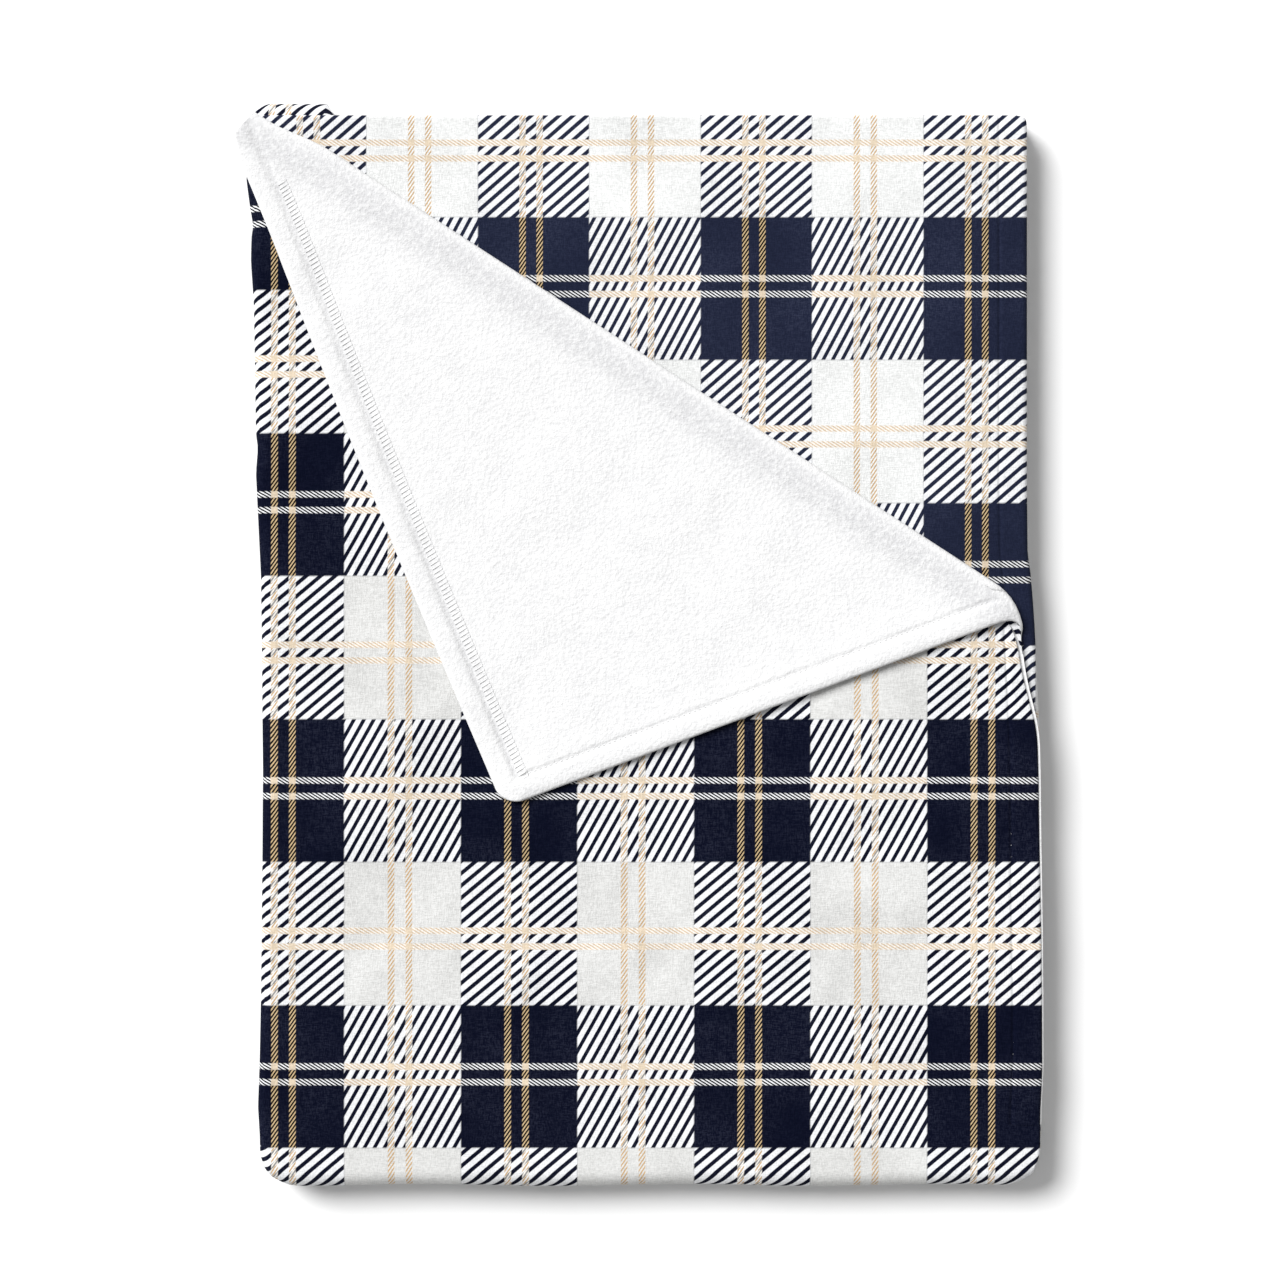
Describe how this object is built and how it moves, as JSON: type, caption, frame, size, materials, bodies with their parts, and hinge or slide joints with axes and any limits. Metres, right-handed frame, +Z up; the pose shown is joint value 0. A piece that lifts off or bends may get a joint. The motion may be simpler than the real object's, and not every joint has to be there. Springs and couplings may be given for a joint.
{
  "type": "camp blanket",
  "caption": "Folded plush camp blanket with a navy and off-white plaid face and a plain white back, one corner turned back; its folds and its corner open.",
  "frame": {"origin": "under the middle of the folded stack, on the surface it lies on", "axes": "+Z up, +Y along the stack towards the end where the corner is turned back, +X to the right with the turned-back corner's free hem on that side"},
  "size_m": [0.5, 0.686, 0.0337],
  "materials": {
    "printed_plush": "matte",
    "white_plush": "matte",
    "sewing_thread": "matte"
  },
  "bodies": {
    "middle_third": {"middle_base_back": "white_plush", "middle_base_face": "printed_plush", "middle_front_bend": "printed_plush", "middle_hem_topstitch": "sewing_thread", "middle_left_bend_back": "white_plush", "middle_left_bend_face": "printed_plush", "middle_rear_bend": "printed_plush", "middle_right_bend_back": "white_plush", "middle_right_bend_face": "printed_plush", "middle_top_back": "white_plush", "middle_top_face": "printed_plush", "middle_tuck_back": "white_plush", "middle_tuck_face": "printed_plush"},
    "lower_third": {"lower_base_back": "white_plush", "lower_base_face": "printed_plush", "lower_hem_topstitch": "sewing_thread", "lower_left_bend_back": "white_plush", "lower_left_bend_face": "printed_plush", "lower_rear_bend": "printed_plush", "lower_right_bend_back": "white_plush", "lower_right_bend_face": "printed_plush", "lower_top_back": "white_plush", "lower_top_face": "printed_plush", "lower_tuck_back": "white_plush", "lower_tuck_face": "printed_plush"},
    "upper_third": {"upper_base_back": "white_plush", "upper_base_face": "printed_plush", "upper_front_bend": "printed_plush", "upper_hem_topstitch": "sewing_thread", "upper_left_bend_back": "white_plush", "upper_left_bend_face": "printed_plush", "upper_right_bend_back": "white_plush", "upper_right_bend_face": "printed_plush", "upper_top_back": "white_plush", "upper_top_face": "printed_plush", "upper_tuck_back": "white_plush", "upper_tuck_face": "printed_plush"},
    "corner_flap": {"flap_back": "white_plush", "flap_face": "printed_plush", "flap_overlock": "sewing_thread", "flap_topstitch": "sewing_thread"}
  },
  "joints": [
    {"name": "lower_fold", "type": "hinge", "parent": "middle_third", "child": "lower_third", "pos_m": [0, 0.34315, 0.01005], "axis": [1, 0, 0], "range_deg": [0, 179.9]},
    {"name": "upper_fold", "type": "hinge", "parent": "middle_third", "child": "upper_third", "pos_m": [0, -0.34315, 0.02025], "axis": [1, 0, 0], "range_deg": [0, 179.9]},
    {"name": "corner_crease", "type": "hinge", "parent": "upper_third", "child": "corner_flap", "pos_m": [0.00375, 0.1832, 0.03045], "axis": [-0.8383, 0.5451, 0], "range_deg": [0, 179.9]}
  ]
}
